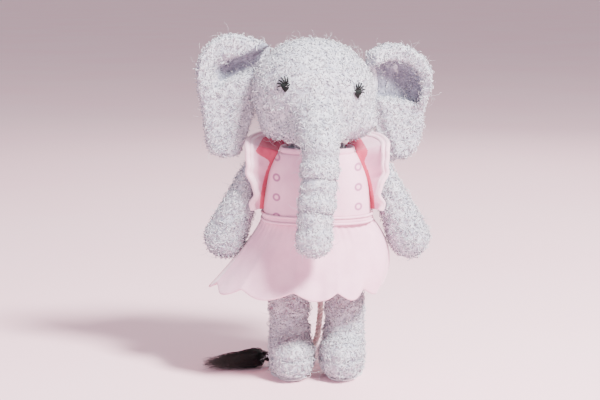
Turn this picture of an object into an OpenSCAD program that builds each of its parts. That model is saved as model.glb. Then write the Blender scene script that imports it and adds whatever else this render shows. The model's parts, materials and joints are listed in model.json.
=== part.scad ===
// A standing stuffed elephant in a dress: sewn plush shells over stuffing, in millimetres.
// +Z is up, the face looks along -Y, and the origin lies on the floor between the two soles.
// Left and right are the elephant's own, so left is +X.

/* [Torso] */
// Width of the torso at the belly, under the dress
torso_w = 72; // [60:1:87]
// Depth of the torso as a share of its width
torso_flat = 0.8; // [0.7:0.01:0.95]
// Height of the torso from its underside to the neck seam
torso_h = 97; // [90:1:117]
// Height of the belly's widest ring above the underside
belly_h = 32; // [26:1:39]
// Width of the torso at the neck seam
neck_w = 40; // [32:1:46]

/* [Plush and clearances] */
// Thickness of a plush wall, its backing and pile together
plush = 3; // [2:0.1:4]
// Space between a plush wall and the stuffing in it
filling_gap = 0.4; // [0.3:0.1:1]
// Space between pieces that move past each other
joint_gap = 0.4; // [0.3:0.1:1]
// Space between layers that are sewn together
seam_gap = 0.3; // [0.2:0.1:0.6]

/* [Head] */
// Width of the head
head_w = 91; // [76:1:109]
// Height of the head, and its depth from the brow to the nape
head_h = 79; // [66:1:95]
// Sideways offset of the head's centre from the neck
head_offset = -3; // [-5:0.5:5]
// Angle by which the face is turned to its left
head_yaw = 7; // [0:1:10]
// Angle by which the head leans to its left
head_roll = 3.5; // [0:0.5:5]
// Distance of each eye from the middle of the face
eye_x = 25; // [22:1:32]
// Height of the eyes above the head's centre
eye_z = 4; // [2:1:14]
// Height of an embroidered eye without its lashes
eye_h = 8; // [6:0.5:10]
// Thickness of the embroidery
eye_t = 1.2; // [0.8:0.1:2]

/* [Ears] */
// Radius of an ear's broad upper end
ear_r = 28.5; // [24:0.5:32]
// Radius of an ear's narrow lower end
ear_tip_r = 13; // [9:0.5:15]
// Distance between the centres of the two ends
ear_drop = 42.5; // [36:0.5:48]
// Thickness of the ear's furry back panel
ear_back_t = 2.6; // [2:0.1:3.2]
// Thickness of the padding inside an ear
ear_padding_t = 2; // [1.5:0.1:2.5]
// Thickness of the ear's inner lining
ear_lining_t = 1.4; // [1:0.1:1.8]
// Radius of the ear's sewn root
ear_root_r = 2.2; // [1.8:0.1:2.6]

/* [Trunk] */
// Radius of the trunk's upper segment
trunk_r = 14.5; // [12:0.5:17]
// Radius of the trunk at its tip
trunk_tip_r = 13.5; // [11.5:0.5:15]
// Depth of the fold between two segments
trunk_fold = 2; // [1.5:0.1:2.5]
// Height of the sewn cap at the trunk's end
trunk_cap_h = 12; // [10:0.5:13]

/* [Arms] */
// Radius of an arm at the shoulder
shoulder_r = 10; // [8:0.5:12]
// Radius of the hand end
hand_r = 16.5; // [14:0.5:19.5]
// Distance from the shoulder to the middle of the hand
arm_len = 54.5; // [45:0.5:65]
// Angle of the arms outward from straight down
arm_splay = 23.5; // [20:0.5:30]
// Height of the shoulder below the neck seam
shoulder_drop = 20; // [17:1:24]

/* [Legs] */
// Distance of each hip from the middle
hip_x = 20.5; // [20:0.5:24]
// Radius of the ball at the top of a leg
hip_r = 15; // [13:0.5:16]
// Radius of a leg
leg_r = 16.4; // [13.5:0.1:19.7]
// Length of a leg from the hip to the ankle seam
leg_len = 40; // [36:1:48]
// Width of a foot
foot_w = 35.4; // [30:0.1:42.5]
// Length of a foot
foot_len = 52; // [44:1:62]
// Height of the ankle seam above the floor
foot_h = 38; // [32:1:45]
// Thickness of a sole
sole_t = 2; // [1.5:0.5:3]

/* [Dress] */
// Space between the torso and the bodice, which holds the closure tapes
dress_ease = 2; // [1.8:0.1:3]
// Thickness of the velour
velour = 1.4; // [1:0.1:2]
// Height of the waistband
waistband_h = 5; // [3:0.5:8]
// Height of the waistband's top above the torso's underside
waist_h = 46.5; // [42:0.5:56]
// Length of the skirt below the waistband
skirt_len = 51.5; // [43:0.5:56]
// Width of the skirt at its hem
hem_w = 132; // [112:1:158]
// Depth of the skirt at its hem
hem_d = 104; // [94:1:124]
// Sideways swing of the hem
skirt_lean = -11; // [-14:1:14]
// Number of scallops round the hem
scallops = 12; // [8:1:14]
// Rise of the hem between two scallops
scallop_h = 6; // [3:0.5:9]
// Width of a sleeve's ruffle at the shoulder
ruffle_w = 25; // [18:1:30]
// Width of a closure tape
tape_w = 12; // [8:1:16]

/* [Tail] */
// Diameter of the tail's cord
tail_d = 5; // [4:0.5:6]
// Radius of the tuft at its thick end
tuft_r = 6.5; // [5:0.5:8]
// Length of the tuft
tuft_len = 46; // [38:1:50]

/* [Hidden] */
$fn = 96;
LEFT = 1;
RIGHT = -1;
FRONT = 1;
BACK = -1;
ARC_STEPS = 10;

fur = [0.86, 0.87, 0.89];
fur_shade = [0.72, 0.71, 0.76];
filling = [0.96, 0.96, 0.94];
dress_pink = [0.92, 0.80, 0.86];
dress_trim = [0.96, 0.90, 0.93];
coral = [0.88, 0.46, 0.52];
thread_dark = [0.08, 0.12, 0.14];
cord_cream = [0.93, 0.85, 0.84];
hair_dark = [0.16, 0.13, 0.12];
pellet_white = [0.93, 0.93, 0.93];

// Levels, each from the one below it
hip_z = foot_h + leg_len;
torso_z = hip_z - 2;
belly_z = torso_z + belly_h;
neck_z = torso_z + torso_h;
shoulder_z = neck_z - shoulder_drop;
waist_z = torso_z + waist_h;
skirt_z = waist_z - waistband_h;
hem_z = skirt_z - skirt_len;
binding_z = neck_z - 7;
binding_h = 4;
head_base_z = neck_z + joint_gap;
neck_dip = 3.5;
head_c = [head_offset, -2, head_base_z - neck_dip + head_h / 2];
foot_x = foot_w / 2 + joint_gap;

// Points of an arc round [0, s], from angle a to angle b, as [radius, distance]
function arc(r, s, a, b) = [
    for (i = [0:ARC_STEPS]) let (t = a + (b - a) * i / ARC_STEPS) [r * cos(t), s + r * sin(t)]
];

// Half outline of two round ends, r0 at 0 and r1 at d, with straight sides that touch both
function teardrop(r0, r1, d) =
    let (lean = asin((r1 - r0) / d))
    concat(arc(r0, 0, -90, -lean), arc(r1, d, -lean, 90));

function backward(list) = [for (i = [len(list) - 1:-1:0]) list[i]];

// Half-width of the torso at height z, grown by add
function torso_half(z, add = 0) =
    z < belly_z
        ? (torso_w / 2 + add) * sqrt(max(0, 1 - pow((belly_z - z) / (belly_h + add), 2)))
        : torso_w / 2 + add - (torso_w - neck_w) / 2 * pow((z - belly_z) / (neck_z - belly_z), 3);

// Upper outline of the torso between two heights, grown by add
function torso_side(z0, z1, add) = [
    for (i = [0:ARC_STEPS]) let (z = z0 + (z1 - z0) * i / ARC_STEPS) [torso_half(z, add), z]
];

// Whole outline of the torso, grown by add, with a flat top
function torso_outline(add) = concat(
    [for (a = [-90:9:-9]) [(torso_w / 2 + add) * cos(a), belly_z + (belly_h + add) * sin(a)]],
    torso_side(belly_z, neck_z + min(0, add), add),
    [[0, neck_z + min(0, add)]]
);

module lathe(points) rotate_extrude() polygon(points);

// Flattens a turned shape front to back, as the torso is
module flattened() scale([1, torso_flat, 1]) children();

module ellipsoid(size) scale(size / 100) sphere(d = 100);

// A block that fills the half of space in front of or behind the flank seams
module half_space(facing) {
    translate([-torso_w, facing == FRONT ? -2 * torso_w : 0, 0]) cube([2 * torso_w, 2 * torso_w, neck_z + head_h]);
}

// Places children so that their +Z runs from one point towards another
module aim(from, to) {
    way = to - from;
    translate(from) rotate([0, acos(way.z / norm(way)), atan2(way.y, way.x)]) children();
}

// Joins rings of points into one closed solid, round to the first ring again when looped.
// A ring runs out along one face and back along the other.
module sweep(rings, looped = false) {
    count = len(rings);
    k = len(rings[0]);
    sides = [
        for (i = [0:count - (looped ? 1 : 2)], j = [0:k - 1])
            let (a = i * k, b = (i + 1) % count * k, n = (j + 1) % k)
            each [[a + j, a + n, b + n], [a + j, b + n, b + j]]
    ];
    last = (count - 1) * k;
    ends = looped ? [] : [
        for (j = [0:k / 2 - 2])
            let (far = k - 1 - j)
            each [
                [j, far - 1, j + 1], [j, far, far - 1],
                [last + j, last + j + 1, last + far - 1], [last + j, last + far - 1, last + far]
            ]
    ];
    polyhedron(points = [for (ring = rings) each ring], faces = concat(sides, ends), convexity = 6);
}

// Torso

module hip_balls(r) for (side = [LEFT, RIGHT]) translate([side * hip_x, 0, hip_z]) sphere(r);

// The torso's plush on one side of the seam that runs up both flanks
module torso_panel(facing) {
    color(fur) intersection() {
        difference() {
            flattened() lathe(torso_outline(0));
            difference() {
                flattened() lathe(torso_outline(-plush));
                hip_balls(hip_r + joint_gap + plush);
            }
            hip_balls(hip_r + joint_gap);
        }
        half_space(facing);
    }
}

module torso_front() torso_panel(FRONT);

module torso_back() torso_panel(BACK);

// The stuffing's surface is a mesh, and it is cupped over the two hips
module torso_stuffing() {
    inset = plush + filling_gap;
    outline = torso_outline(-inset);
    sides = 32;
    color(filling) difference() {
        sweep([
            for (p = [for (i = [1:len(outline) - 2]) outline[i]])
                [for (a = [0:360 / sides:359]) [p.x * cos(a), p.x * torso_flat * sin(a), p.y]]
        ]);
        hip_balls(hip_r + joint_gap + inset);
    }
}

// Dress

bodice_top = binding_z;
band_t = 4;
shoulder_half = torso_half(shoulder_z, dress_ease + velour);

module dress_layer(z0, z1, start, thick) {
    flattened() lathe(concat(torso_side(z0, z1, start + thick), backward(torso_side(z0, z1, start))));
}

// The dress opens down the middle of the back
module back_opening() translate([-seam_gap / 2, 0, 0]) cube([seam_gap, 2 * torso_w, neck_z + head_h]);

module bodice_front() {
    color(dress_pink) intersection() {
        dress_layer(waist_z, bodice_top, dress_ease, velour);
        half_space(FRONT);
    }
}

module bodice_back(side) {
    color(dress_pink) intersection() {
        dress_layer(waist_z, bodice_top, dress_ease, velour);
        half_space(BACK);
        translate([side == LEFT ? seam_gap / 2 : -seam_gap / 2 - torso_w, 0, 0]) cube([torso_w, torso_w, neck_z]);
    }
}

module bodice_back_left() bodice_back(LEFT);

module bodice_back_right() bodice_back(RIGHT);

module dress_band(z0, z1) {
    color(dress_trim) difference() {
        dress_layer(z0, z1, seam_gap, band_t);
        back_opening();
    }
}

module neck_binding() dress_band(binding_z, binding_z + binding_h);

module waistband() dress_band(skirt_z, waist_z);

// The two tapes lie one on the other under the back opening
module closure_tape(start, thick) {
    intersection() {
        dress_layer(waist_z, bodice_top, start, thick);
        translate([-tape_w / 2, 0, waist_z + 3]) cube([tape_w, torso_w, bodice_top - waist_z - 6]);
    }
}

tape_t = (dress_ease - 3 * seam_gap) / 2;

module closure_loop_tape() color(dress_pink) closure_tape(seam_gap, tape_t);

module closure_hook_tape() color(dress_trim) closure_tape(2 * seam_gap + tape_t, tape_t);

// How far the skirt has spread at a share t of the way down
function spread(t) = pow(t, 1.8);

// Half-size of the skirt across its width or depth at t, from the waist's to the hem's
function skirt_half(waist, hem, t) = waist + (hem - waist) * spread(t);

// A point of the skirt at angle a round it and share t down, moved inward by inset
function skirt_point(a, t, inset) =
    let (
        from_front = a + 90,
        flute = 1 + 0.02 * t * cos(scallops * from_front),
        hem = hem_z + scallop_h * (1 - abs(cos(scallops / 2 * from_front))),
        waist_half = torso_w / 2 + seam_gap + band_t,
        half_w = skirt_half(waist_half, hem_w / 2, t) * flute - inset,
        half_d = skirt_half(waist_half * torso_flat, hem_d / 2, t) * flute - inset
    )
    [skirt_lean * spread(t) + half_w * cos(a), half_d * sin(a), skirt_z + (hem - skirt_z) * t];

// A skirt layer between two insets that ends at a share of the full length
module skirt_layer(inset, thick, rows, share) {
    turns = scallops * 8;
    sweep([
        for (i = [0:turns - 1])
            let (
                a = 360 * i / turns,
                face = [for (j = [0:rows]) skirt_point(a, share * j / rows, inset)],
                lining_side = [for (j = [0:rows]) skirt_point(a, share * j / rows, inset + thick)]
            )
            concat(face, backward(lining_side))
    ], looped = true);
}

skirt_t = 1.6;
lining_t = 1.2;

module skirt_outer() color(dress_pink) skirt_layer(0, skirt_t, 6, 1);

module skirt_lining() color(coral) skirt_layer(skirt_t + 2 * seam_gap, lining_t, 5, 0.96);

// A ruffle runs down the front of the armhole, from over the shoulder to the waist, and narrows as it goes
ruffle_waves = 3;
ruffle_rows = 24;
ruffle_t = 1.6;

function ruffle_point(s, out, thick) =
    let (
        z = bodice_top - 0.5 + (waist_z + 3 - bodice_top) * s,
        round_to_front = 22 + 10 * s,
        base = torso_half(z, dress_ease + velour) + seam_gap,
        lift = 14 * (1 - s),
        width = ruffle_w * (1 - 0.62 * s),
        wave = 2.6 * out * sin(360 * ruffle_waves * s),
        heading = round_to_front + 12,
        way = [cos(heading) * cos(lift), -sin(heading) * cos(lift), sin(lift)],
        across = [-sin(heading), -cos(heading), 0]
    )
    [base * cos(round_to_front), -base * torso_flat * sin(round_to_front), z]
        + way * width * out + across * (wave + thick);

module flutter_sleeve(side) {
    outs = [0, 0.33, 0.67, 1];
    color(dress_trim) mirror([side == RIGHT ? 1 : 0, 0, 0]) sweep([
        for (i = [0:ruffle_rows])
            let (s = i / ruffle_rows)
            concat(
                [for (out = outs) ruffle_point(s, out, ruffle_t)],
                backward([for (out = outs) ruffle_point(s, out, 0)])
            )
    ]);
}

module flutter_sleeve_left() flutter_sleeve(LEFT);

module flutter_sleeve_right() flutter_sleeve(RIGHT);

// Tail

// The cord's route, from the seat down behind the legs and along the floor
tail_route = [
    [3, 27, 86], [3, 29, 80], [3, 30, 70], [3, 30, 60], [3, 30, 50], [3, 30, 40], [2, 30, 30],
    [1, 30, 22], [-2, 30, 14], [-7, 30, 8], [-14, 29, 4], [-22, 27, 3], [-30, 23, 4], [-36, 20, 7]
];
tail_sides = 8;
tail_end = tail_route[len(tail_route) - 1];
tail_heading = (tail_end - tail_route[len(tail_route) - 2]) / norm(tail_end - tail_route[len(tail_route) - 2]);
tuft_binding_len = 5;
tuft_root = tail_end + tail_heading * tuft_binding_len;
tuft_tip = [tuft_root.x - tuft_len, tuft_root.y - 6, 3];

// Direction of the cord at point i of its route
function tail_way(i) =
    let (
        before = tail_route[max(0, i - 1)],
        after = tail_route[min(len(tail_route) - 1, i + 1)]
    )
    (after - before) / norm(after - before);

// The cord lies near the plane that holds this sideways direction at its two ends
function tail_ring(i) =
    let (
        way = tail_way(i),
        side = cross(way, [0.3, 1, 0.3]) / norm(cross(way, [0.3, 1, 0.3])),
        up = cross(side, way)
    )
    [
        for (j = [0:tail_sides - 1])
            let (a = 360 * (j + 0.5) / tail_sides)
            tail_route[i] + tail_d / 2 * (cos(a) * side + sin(a) * up)
    ];

module tail_cord() color(cord_cream) sweep([for (i = [0:len(tail_route) - 1]) tail_ring(i)]);

// The stitched stub that holds the cord to the seat
module tail_anchor() {
    seat = torso_half(tail_route[0].z) * torso_flat;
    color(fur_shade) intersection() {
        aim(tail_route[0], tail_route[0] - tail_way(0) * 20) cylinder(r = tail_d / 2 + 1.5, h = 20);
        difference() {
            translate([0, seat / 2, 0]) cube([40, seat * 3, 400], center = true);
            flattened() lathe(torso_outline(seam_gap));
        }
    }
}

module tuft_binding() color(thread_dark) aim(tail_end, tuft_root) cylinder(r = tail_d / 2 + 1.2, h = tuft_binding_len);

// The tuft bends away from the cord's heading, so the space past the binding's end is left out of it
module tail_tuft() {
    color(hair_dark) difference() {
        aim(tuft_root, tuft_tip) lathe([
            [0, 0], [tail_d / 2 + 1, 0], [tuft_r * 0.92, 6], [tuft_r, 12], [tuft_r * 0.9, 20],
            [tuft_r * 0.62, tuft_len * 0.7], [1.5, tuft_len], [0, tuft_len]
        ]);
        aim(tuft_root, tail_end) translate([-10, -10, 0]) cube([20, 20, 10]);
    }
}

// Trunk: each segment turns on a ball that sits in a cup in the segment above

trunk_points = [
    [head_c.x + 5, -head_h * 0.5 - 10, head_c.z - 37.5],
    [head_c.x + 3.5, -head_h * 0.5 - 14.5, head_c.z - 61.5],
    [head_c.x + 1, -head_h * 0.5 - 17.5, head_c.z - 84],
    [head_c.x - 0.3, -head_h * 0.5 - 20, head_c.z - 111]
];
cup_rim = 4;
segment_r = [trunk_r, (trunk_r + trunk_tip_r) / 2, trunk_tip_r];

function ball_r(i) = segment_r[i] - trunk_fold;

// Outline of segment i along its own axis, from the ball's top to the rim of its cup
function segment_outline(i, len) = concat(
    arc(ball_r(i), 0, -90, 20),
    [[segment_r[i], 9], [segment_r[i], len - cup_rim - 5], [ball_r(i + 1) + 1, len - cup_rim], [0, len - cup_rim]]
);

function segment_cavity(r, end) = concat(arc(r, 0, -90, 0), [[r, end], [0, end]]);

// Inner end of the cavity above the cup for the next ball
function cavity_end(i, len) = len - ball_r(i + 1) - joint_gap - plush;

module trunk_shell(i) {
    len = norm(trunk_points[i + 1] - trunk_points[i]);
    color(fur) difference() {
        aim(trunk_points[i], trunk_points[i + 1]) difference() {
            lathe(segment_outline(i, len));
            lathe(segment_cavity(ball_r(i) - plush, cavity_end(i, len)));
        }
        translate(trunk_points[i + 1]) sphere(ball_r(i + 1) + joint_gap);
    }
}

module trunk_stuffing(i) {
    len = norm(trunk_points[i + 1] - trunk_points[i]);
    color(filling) aim(trunk_points[i], trunk_points[i + 1])
        lathe(segment_cavity(ball_r(i) - plush - filling_gap, cavity_end(i, len) - filling_gap));
}

module trunk_upper_shell() trunk_shell(0);

module trunk_upper_stuffing() trunk_stuffing(0);

module trunk_middle_shell() trunk_shell(1);

module trunk_middle_stuffing() trunk_stuffing(1);

tip_len = norm(trunk_points[3] - trunk_points[2]);
cap_start = tip_len - trunk_cap_h;

module along_tip() aim(trunk_points[2], trunk_points[3]) children();

module trunk_tip_shell() {
    color(fur) along_tip() difference() {
        lathe(concat(
            arc(ball_r(2), 0, -90, 20),
            [[trunk_tip_r, 9], [trunk_tip_r, cap_start - seam_gap], [0, cap_start - seam_gap]]
        ));
        lathe(segment_cavity(ball_r(2) - plush, cap_start - plush - seam_gap));
    }
}

module trunk_tip_stuffing() {
    color(filling) along_tip()
        lathe(segment_cavity(ball_r(2) - plush - filling_gap, cap_start - plush - seam_gap - filling_gap));
}

module trunk_cap() {
    color(fur) along_tip() lathe(concat(
        [[0, cap_start]],
        [for (a = [0:9:90]) [trunk_tip_r * cos(a), cap_start + trunk_cap_h * sin(a)]]
    ));
}

// Head

module in_head() translate(head_c) rotate([0, head_roll, 0]) rotate([0, 0, head_yaw]) children();

// The head is turned about the line through the ears, and add grows it
module head_form(add) {
    half_w = head_w / 2 + add;
    r = head_h / 2 + add;
    in_head() rotate([0, 90, 0]) lathe([for (a = [-90:7.5:90]) [r * cos(a), half_w * sin(a)]]);
}

module below_neck(z) translate([-head_w, -head_w, z - 2 * head_h]) cube([2 * head_w, 2 * head_w, 2 * head_h]);

// The root that carries the trunk out of the face, cut level above the first fold
module trunk_root() {
    inside = [head_c.x + 2, head_c.y - head_h * 0.3, head_c.z - 12];
    run = norm(trunk_points[0] - inside);
    difference() {
        aim(inside, trunk_points[0]) cylinder(r1 = 21, r2 = trunk_r - 0.5, h = run + 6);
        below_neck(trunk_points[0].z + cup_rim);
    }
}

module head_cavity(shrink) {
    difference() {
        head_form(-plush - shrink);
        below_neck(head_base_z + plush + shrink);
        translate(trunk_points[0]) sphere(ball_r(0) + joint_gap + plush + shrink);
    }
}

module head_shell() {
    color(fur) difference() {
        union() {
            head_form(0);
            trunk_root();
        }
        below_neck(head_base_z);
        head_cavity(0);
        translate(trunk_points[0]) sphere(ball_r(0) + joint_gap);
    }
}

module head_stuffing() color(filling) head_cavity(filling_gap);

// An oval of satin stitches that follows the face
module eye(side) {
    color(thread_dark) intersection() {
        difference() {
            head_form(seam_gap + eye_t);
            head_form(seam_gap);
        }
        in_head() translate([side * eye_x, 0, eye_z]) rotate([90, 0, 0]) linear_extrude(head_h) union() {
            scale([0.72, 1]) circle(d = eye_h);
            for (i = [0:3]) rotate(side * (-8 - 24 * i)) translate([0, eye_h / 2 + 0.5]) square([1, 4.5], center = true);
        }
    }
}

module eye_left() eye(LEFT);

module eye_right() eye(RIGHT);

// Ears: each hinges on a straight root that lies along the side of the head.
// In an ear's own frame X runs outward, Z up along the root and -Y to the front.

root_y = 10;
root_z = 9.5;
root_x = head_w / 2 * sqrt(1 - pow(2 * root_y / head_h, 2) - pow(2 * root_z / head_h, 2));
root_normal = [root_x / pow(head_w, 2), root_y / pow(head_h, 2), root_z / pow(head_h, 2)];
root_point = [root_x, root_y, root_z] + root_normal / norm(root_normal) * (ear_root_r + joint_gap);
root_lean = atan(root_normal.z / root_normal.x);
ear_centre = [ear_r - 14, -4.5];
// The ears hang from a head that leans, so each is turned back by its lean
ear_tilt = 9;
ear_cup_r = 45;
ear_cup_x = 18;
ear_cup_y = -sqrt(pow(ear_cup_r, 2) - pow(ear_cup_x, 2));
ear_root_top = 14;
ear_root_bottom = -22;

module in_ear(side) {
    in_head() mirror([side == RIGHT ? 1 : 0, 0, 0]) translate(root_point) rotate([0, -root_lean, 0]) children();
}

// One layer of an ear: the outline cut out of a gently cupped sheet
module ear_layer(side, inner_r, thick, edge, from_root) {
    half = teardrop(ear_r - edge, ear_tip_r - edge, ear_drop);
    intersection() {
        translate([ear_cup_x, ear_cup_y, -100]) difference() {
            cylinder(r = inner_r + thick, h = 200);
            translate([0, 0, -1]) cylinder(r = inner_r, h = 202);
        }
        translate([ear_centre.x, 60, ear_centre.y]) rotate([90, 0, 0]) rotate(180 - ear_tilt - side * head_roll) linear_extrude(120)
            polygon(concat(half, [for (p = backward(half)) [-p.x, p.y]]));
        translate([from_root, -30, -100]) cube([100, 60, 200]);
    }
}

back_inner = ear_cup_r - ear_back_t / 2;
padding_inner = back_inner - seam_gap - ear_padding_t;
lining_inner = padding_inner - seam_gap - ear_lining_t;
ear_facing_start = 5;

module ear_back(side) {
    color(fur) in_ear(side) union() {
        ear_layer(side, back_inner, ear_back_t, 0, 0);
        translate([0, 0, ear_root_bottom]) cylinder(r = ear_root_r, h = ear_root_top - ear_root_bottom);
    }
}

module ear_padding(side) color(filling) in_ear(side)
    ear_layer(side, padding_inner, ear_padding_t, 4, ear_facing_start);

module ear_lining(side) color(fur_shade) in_ear(side)
    ear_layer(side, lining_inner, ear_lining_t, 2, ear_facing_start);

module ear_left_back() ear_back(LEFT);

module ear_left_padding() ear_padding(LEFT);

module ear_left_lining() ear_lining(LEFT);

module ear_right_back() ear_back(RIGHT);

module ear_right_padding() ear_padding(RIGHT);

module ear_right_lining() ear_lining(RIGHT);

// Arms

// The dress widens below the shoulder, and its slope there sets how far out the ball has to stand
shoulder_slope = (torso_half(shoulder_z - 5) - torso_half(shoulder_z + 5)) / 10;
shoulder_x = shoulder_half + (shoulder_r + 2 * joint_gap) * sqrt(1 + pow(shoulder_slope, 2));

module in_arm(side) {
    shoulder = [side * shoulder_x, 0, shoulder_z];
    aim(shoulder, shoulder + [side * sin(arm_splay), 0, -cos(arm_splay)]) children();
}

module arm_shell(side) {
    color(fur) in_arm(side) difference() {
        lathe(teardrop(shoulder_r, hand_r, arm_len));
        lathe(teardrop(shoulder_r - plush, hand_r - plush, arm_len));
    }
}

module arm_stuffing(side) {
    inset = plush + filling_gap;
    color(filling) in_arm(side) lathe(teardrop(shoulder_r - inset, hand_r - inset, arm_len));
}

module arm_left_shell() arm_shell(LEFT);

module arm_left_stuffing() arm_stuffing(LEFT);

module arm_right_shell() arm_shell(RIGHT);

module arm_right_stuffing() arm_stuffing(RIGHT);

// Legs and feet

// A leg narrows under its ball, so that it clears the torso as it swings
hip_neck = 1.5;

// Outline of a leg from the top of its ball, drawn in by inset
function leg_outline(inset) =
    let (end = leg_len - inset - seam_gap)
    concat(
        arc(hip_r - inset, 0, -90, 0),
        [[hip_r - hip_neck - inset, 6], [leg_r - inset, 26], [leg_r - inset, end], [0, end]]
    );

module in_leg(side) translate([side * hip_x, 0, hip_z]) mirror([0, 0, 1]) children();

module leg_shell(side) {
    color(fur) in_leg(side) difference() {
        lathe(leg_outline(0));
        lathe(leg_outline(plush));
    }
}

module leg_stuffing(side) color(filling) in_leg(side) lathe(leg_outline(plush + filling_gap));

// A foot: the ankle and a rounded toe end, both flat below
toe_h = 33;
heel_back = 18;
toe_y = heel_back - foot_len / 2;

module foot_solid(side, inset, floor) {
    difference() {
        union() {
            translate([side * (hip_x - 0.5), 0, -5]) cylinder(r = leg_r - inset, h = foot_h + 5 - inset);
            translate([side * foot_x, toe_y, toe_h * 0.42])
                ellipsoid([foot_w - 2 * inset, foot_len - 2 * inset, toe_h * 1.16 - 2 * inset]);
        }
        translate([0, 0, floor - 50]) cube([200, 200, 100], center = true);
    }
}

module foot_shell(side) {
    color(fur) difference() {
        foot_solid(side, 0, sole_t);
        foot_solid(side, plush, sole_t + plush);
    }
}

module pellet_bag(side) {
    color(pellet_white) difference() {
        foot_solid(side, plush + filling_gap, sole_t + plush + filling_gap);
        translate([0, 0, foot_h - plush - 4 + 50]) cube([200, 200, 100], center = true);
    }
}

module sole(side) {
    color(fur_shade) intersection() {
        foot_solid(side, 0, 0);
        translate([-100, -100, 0]) cube([200, 200, sole_t]);
    }
}

module leg_left_shell() leg_shell(LEFT);

module leg_left_stuffing() leg_stuffing(LEFT);

module foot_left_shell() foot_shell(LEFT);

module pellet_bag_left() pellet_bag(LEFT);

module sole_left() sole(LEFT);

module leg_right_shell() leg_shell(RIGHT);

module leg_right_stuffing() leg_stuffing(RIGHT);

module foot_right_shell() foot_shell(RIGHT);

module pellet_bag_right() pellet_bag(RIGHT);

module sole_right() sole(RIGHT);

torso_front();
torso_back();
torso_stuffing();
bodice_front();
bodice_back_left();
bodice_back_right();
neck_binding();
waistband();
skirt_outer();
skirt_lining();
closure_hook_tape();
closure_loop_tape();
flutter_sleeve_left();
flutter_sleeve_right();
tail_anchor();
tail_cord();
tuft_binding();
tail_tuft();
head_shell();
head_stuffing();
eye_left();
eye_right();
ear_left_back();
ear_left_padding();
ear_left_lining();
ear_right_back();
ear_right_padding();
ear_right_lining();
trunk_upper_shell();
trunk_upper_stuffing();
trunk_middle_shell();
trunk_middle_stuffing();
trunk_tip_shell();
trunk_tip_stuffing();
trunk_cap();
arm_left_shell();
arm_left_stuffing();
arm_right_shell();
arm_right_stuffing();
leg_left_shell();
leg_left_stuffing();
foot_left_shell();
pellet_bag_left();
sole_left();
leg_right_shell();
leg_right_stuffing();
foot_right_shell();
pellet_bag_right();
sole_right();
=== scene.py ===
"""A standing plush elephant in a scalloped dress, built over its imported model."""

import functools
import json
import math
import random

import bmesh
import bpy
import numpy
from mathutils import Matrix, Vector, noise
from mathutils.bvhtree import BVHTree

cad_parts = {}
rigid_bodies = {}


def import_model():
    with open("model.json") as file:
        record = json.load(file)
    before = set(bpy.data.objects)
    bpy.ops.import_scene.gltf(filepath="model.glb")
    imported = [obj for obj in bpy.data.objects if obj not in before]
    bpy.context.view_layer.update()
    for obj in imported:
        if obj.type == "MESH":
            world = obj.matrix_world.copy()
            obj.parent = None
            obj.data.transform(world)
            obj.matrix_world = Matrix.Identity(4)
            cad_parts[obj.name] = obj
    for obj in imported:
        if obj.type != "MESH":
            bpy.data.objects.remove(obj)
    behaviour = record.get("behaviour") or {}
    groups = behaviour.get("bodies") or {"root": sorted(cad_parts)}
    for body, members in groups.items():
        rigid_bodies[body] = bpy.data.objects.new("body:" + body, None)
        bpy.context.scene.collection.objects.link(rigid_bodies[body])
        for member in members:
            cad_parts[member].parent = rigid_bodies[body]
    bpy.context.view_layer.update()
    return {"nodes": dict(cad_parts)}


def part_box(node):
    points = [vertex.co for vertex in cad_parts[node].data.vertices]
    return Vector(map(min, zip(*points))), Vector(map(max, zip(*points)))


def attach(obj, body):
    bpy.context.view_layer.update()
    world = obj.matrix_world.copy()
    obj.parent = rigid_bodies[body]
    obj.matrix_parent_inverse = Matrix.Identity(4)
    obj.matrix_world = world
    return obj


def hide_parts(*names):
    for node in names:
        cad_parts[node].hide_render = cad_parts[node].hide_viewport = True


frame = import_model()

bl_info = {
    "name": "Plush elephant in a dress",
    "version": (1, 0, 0),
    "blender": (4, 5, 0),
    "location": "3D View > Sidebar > Elephant",
    "description": "Sews a plush elephant, its dress and its tail over the packed model",
    "category": "Object",
}

MM = 0.001
SIDES = {"left": 1, "right": -1}

# Places in millimetres, repeated from the part's source
TORSO_HALF = 36
TORSO_FLAT = 0.8
BELLY_Z, BELLY_H = 108, 32
NECK_HALF, NECK_Z = 20, 173
WAIST_Z, BODICE_TOP = 122.5, 166
SKIRT_Z, HEM_Z = 117.5, 66
WAIST_HALF, HEM_DEPTH = 40.3, 52
SCALLOPS, SCALLOP_H = 12, 6
TAIL_ROUTE = [
    (3, 27, 86), (3, 29, 80), (3, 30, 70), (3, 30, 60), (3, 30, 50), (3, 30, 40), (2, 30, 30),
    (1, 30, 22), (-2, 30, 14), (-7, 30, 8), (-14, 29, 4), (-22, 27, 3), (-30, 23, 4), (-36, 20, 7),
]
TUFT_ROOT = Vector((-40.1, 18, 9))
TUFT_TIP = Vector((-86.1, 12, 3))
TRUNK_FOLDS = {
    "upper": (Vector((2, -49.5, 171.9)), 13.9),
    "middle": (Vector((0.5, -54, 147.9)), 13.5),
    "tip": (Vector((-2, -57, 125.4)), 13.1),
}

# Places in millimetres that only the soft forms need.
# An ear's half-width at its broad end, how much of it is gone at the tip, and the length that this takes
EAR_HALF, EAR_NARROWING, EAR_LENGTH = 28.5, 14, 42
# Height of the seam round the trunk's cap
TRUNK_CAP_SEAM = 109.5
# Round fills at folds, each with its middle and its radii
NECK_FILL = ((0, 0, 167.5), (22, 17.5, 10))
HEAD_FILLS = [
    ((-2, -24, 184), (27, 19, 12.5)), ((1, -47, 178), (15, 15, 13)), ((-1, -1, 180), (27, 22, 9)),
    ((22, -8, 191), (22, 21, 17)), ((-25, -8, 189), (19, 21, 15)),
]
ANKLE_FILL_RADII = (14.5, 14.5, 9)
TOE_CREASE, ANKLE = 17.5, 42
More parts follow.
